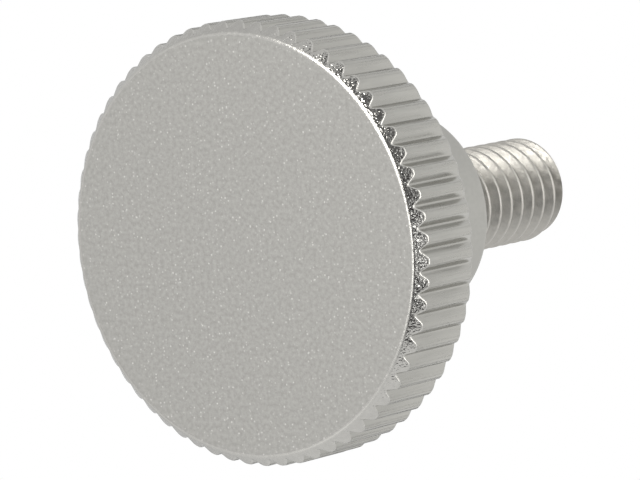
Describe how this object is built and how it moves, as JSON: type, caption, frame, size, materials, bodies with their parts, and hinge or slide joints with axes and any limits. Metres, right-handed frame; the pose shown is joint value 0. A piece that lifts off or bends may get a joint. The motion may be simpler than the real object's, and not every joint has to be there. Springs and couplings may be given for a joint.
{
  "type": "knurled thumb screw",
  "caption": "One-piece thumb screw turned by hand: flat disc head with a straight knurl, plain cylindrical collar and a metric threaded shank",
  "frame": {"origin": "centre of the head's flat face, on which the screw stands", "axes": "+Z runs along the screw's axis from the flat face to the tip of the shank; a groove of the knurl lies on +X"},
  "size_m": [0.016, 0.016, 0.0176],
  "materials": {
    "plated_steel": "satin"
  },
  "bodies": {
    "root": {"thumb_screw": "plated_steel"}
  },
  "joints": []
}
